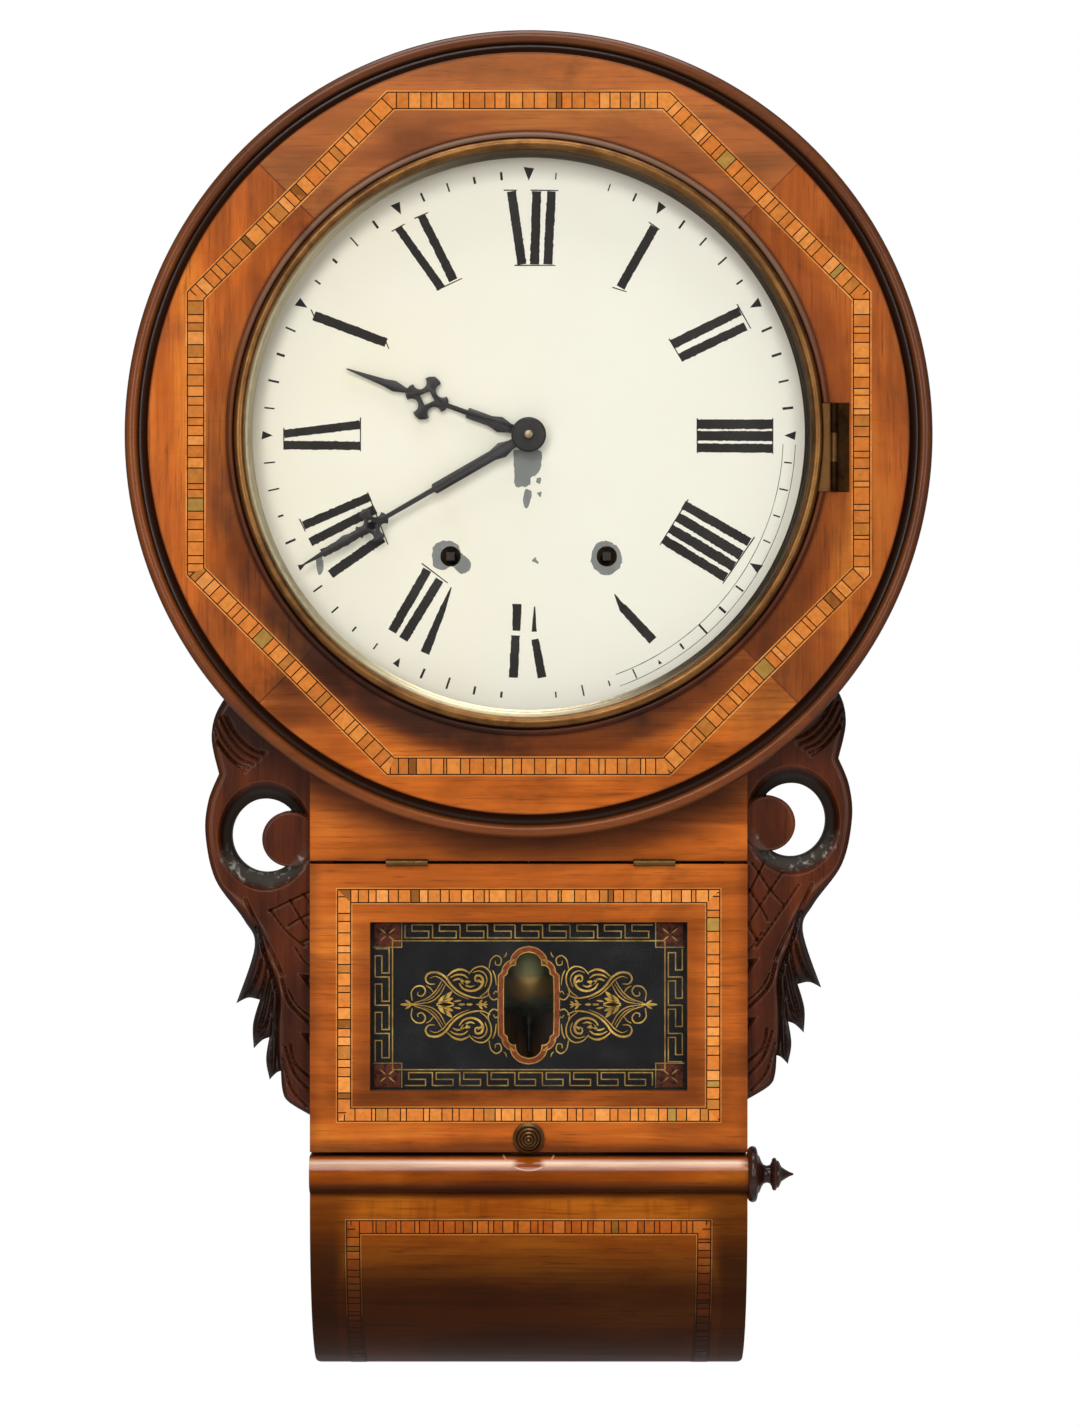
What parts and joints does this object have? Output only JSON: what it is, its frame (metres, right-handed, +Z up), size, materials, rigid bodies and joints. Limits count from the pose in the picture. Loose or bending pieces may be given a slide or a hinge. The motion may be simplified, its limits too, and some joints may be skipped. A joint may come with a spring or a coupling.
{
  "type": "drop dial wall clock",
  "caption": "Striking drop dial wall clock: round dial surround with hinged bezel over a narrow trunk with a top-hinged glazed door, carved side brackets and a working movement",
  "frame": {"origin": "centre of the hanging hole on the wall plane", "axes": "+Z up, +X to the right as the dial is seen, +Y into the wall; the front faces -Y"},
  "size_m": [0.4324, 0.127, 0.7257],
  "materials": {
    "veneer": "polished walnut veneer",
    "banding": "parquetry banding",
    "carved_wood": "dark stained carved wood",
    "case_wood": "plain softwood",
    "brass": "aged brass",
    "glass": "clear",
    "painted_glass": "back-painted",
    "dial_paint": "worn cream paint",
    "black_steel": "blackened",
    "steel": "bright",
    "spring_steel": "blued",
    "iron": "painted"
  },
  "bodies": {
    "case": {"back_board": "case_wood", "case_side_left": "veneer", "case_side_right": "veneer", "case_top": "case_wood", "front_rail": "veneer", "roll_rail": "veneer", "roll_finial": "carved_wood", "base_front": "veneer", "base_inlay": "banding", "dial_surround": "veneer", "octagon_inlay": "banding", "ear_left": "carved_wood", "ear_right": "carved_wood", "dial_plate": "dial_paint", "dial_screws": "steel", "bezel_hinge_leaf": "brass", "door_hinge_upper_leaves": "brass", "gong_block": "iron", "gong_coil": "spring_steel", "movement_back_plate": "brass", "movement_front_plate": "brass", "movement_pillars": "steel", "movement_nuts": "steel", "time_mainspring": "spring_steel", "strike_mainspring": "spring_steel", "plate_studs": "steel", "suspension_cock": "brass"},
    "bezel": {"bezel_ring": "brass", "bezel_glass": "glass", "bezel_glass_bead": "brass", "bezel_hinge_knuckle": "brass"},
    "door": {"door_frame": "veneer", "door_inlay": "banding", "door_glass": "painted_glass", "door_glass_beads": "case_wood", "door_hinge_lower_leaves": "brass"},
    "knob": {"door_knob": "brass", "door_latch": "brass"},
    "minute": {"minute_hand": "black_steel", "hand_cap": "black_steel", "cannon_pinion": "steel"},
    "hour": {"hour_hand": "black_steel", "hour_wheel": "brass"},
    "motion": {"minute_wheel": "brass"},
    "time_main": {"time_main_wheel": "brass"},
    "time_arbor": {"time_winding_arbor": "steel"},
    "second": {"second_wheel": "brass"},
    "centre": {"centre_wheel": "brass"},
    "third": {"third_wheel": "brass"},
    "escape": {"escape_wheel": "brass"},
    "pendulum": {"anchor": "steel", "pendulum_rod": "steel", "pendulum_bob": "brass"},
    "nut": {"rating_nut": "brass"},
    "strike_main": {"strike_main_wheel": "brass"},
    "strike_arbor": {"strike_winding_arbor": "steel"},
    "strike_second": {"strike_second_wheel": "brass"},
    "strike_third": {"strike_third_wheel": "brass"},
    "fly": {"fly": "brass"},
    "hammer": {"hammer": "steel"}
  },
  "joints": [
    {"name": "bezel_swing", "type": "hinge", "parent": "case", "child": "bezel", "pos_m": [0.163, -0.125, -0.1575], "axis": [0, 0, 1], "range_deg": [0, 120]},
    {"name": "door_swing", "type": "hinge", "parent": "case", "child": "door", "pos_m": [0, -0.102, -0.3798], "axis": [-1, 0, 0], "range_deg": [0, 100]},
    {"name": "knob_turn", "type": "hinge", "parent": "door", "child": "knob", "pos_m": [0, -0.1, -0.5283], "axis": [0, 1, 0], "range_deg": [0, 90]},
    {"name": "minute_turn", "type": "hinge", "parent": "case", "child": "minute", "pos_m": [0, -0.113, -0.15], "axis": [0, 1, 0], "continuous": true},
    {"name": "hour_turn", "type": "hinge", "parent": "case", "child": "hour", "pos_m": [0, -0.109, -0.15], "axis": [0, 1, 0], "continuous": true},
    {"name": "motion_turn", "type": "hinge", "parent": "case", "child": "motion", "pos_m": [0.018, -0.078, -0.1608], "axis": [0, 1, 0], "continuous": true},
    {"name": "time_wind", "type": "hinge", "parent": "case", "child": "time_arbor", "pos_m": [0.042, -0.07, -0.215], "axis": [0, 1, 0], "continuous": true},
    {"name": "strike_wind", "type": "hinge", "parent": "case", "child": "strike_arbor", "pos_m": [-0.042, -0.07, -0.215], "axis": [0, 1, 0], "continuous": true},
    {"name": "escape_turn", "type": "hinge", "parent": "case", "child": "escape", "pos_m": [0, -0.05, -0.1236], "axis": [0, 1, 0], "continuous": true},
    {"name": "third_turn", "type": "hinge", "parent": "case", "child": "third", "pos_m": [-0.014, -0.05, -0.1357], "axis": [0, 1, 0], "continuous": true},
    {"name": "centre_turn", "type": "hinge", "parent": "case", "child": "centre", "pos_m": [0, -0.05, -0.15], "axis": [0, 1, 0], "continuous": true},
    {"name": "second_turn", "type": "hinge", "parent": "case", "child": "second", "pos_m": [0.0242, -0.05, -0.1793], "axis": [0, 1, 0], "continuous": true},
    {"name": "time_main_turn", "type": "hinge", "parent": "case", "child": "time_main", "pos_m": [0.042, -0.038, -0.215], "axis": [0, 1, 0], "continuous": true},
    {"name": "fly_turn", "type": "hinge", "parent": "case", "child": "fly", "pos_m": [-0.048, -0.05, -0.1361], "axis": [0, 1, 0], "continuous": true},
    {"name": "strike_third_turn", "type": "hinge", "parent": "case", "child": "strike_third", "pos_m": [-0.038, -0.05, -0.1525], "axis": [0, 1, 0], "continuous": true},
    {"name": "strike_second_turn", "type": "hinge", "parent": "case", "child": "strike_second", "pos_m": [-0.0486, -0.05, -0.1776], "axis": [0, 1, 0], "continuous": true},
    {"name": "strike_main_turn", "type": "hinge", "parent": "case", "child": "strike_main", "pos_m": [-0.042, -0.038, -0.215], "axis": [0, 1, 0], "continuous": true},
    {"name": "hammer_lift", "type": "hinge", "parent": "case", "child": "hammer", "pos_m": [-0.064, -0.045, -0.144], "axis": [0, 1, 0], "range_deg": [0, 5]},
    {"name": "pendulum_swing", "type": "hinge", "parent": "case", "child": "pendulum", "pos_m": [0, -0.021, -0.1036], "axis": [0, 1, 0], "range_deg": [-4, 4]},
    {"name": "rating_turn", "type": "hinge", "parent": "pendulum", "child": "nut", "pos_m": [0, -0.021, -0.4706], "axis": [0, 0, 1], "continuous": true}
  ],
  "couplings": [
    {"joint": "hour_turn", "follows": "minute_turn", "ratio": 0.083333},
    {"joint": "motion_turn", "follows": "minute_turn", "ratio": -0.33333},
    {"joint": "third_turn", "follows": "escape_turn", "ratio": -0.1},
    {"joint": "centre_turn", "follows": "escape_turn", "ratio": 0.013333},
    {"joint": "second_turn", "follows": "escape_turn", "ratio": -0.0022222},
    {"joint": "time_main_turn", "follows": "escape_turn", "ratio": 0.00037037},
    {"joint": "strike_third_turn", "follows": "fly_turn", "ratio": -0.125},
    {"joint": "strike_second_turn", "follows": "fly_turn", "ratio": 0.020833},
    {"joint": "strike_main_turn", "follows": "fly_turn", "ratio": -0.0034722}
  ]
}
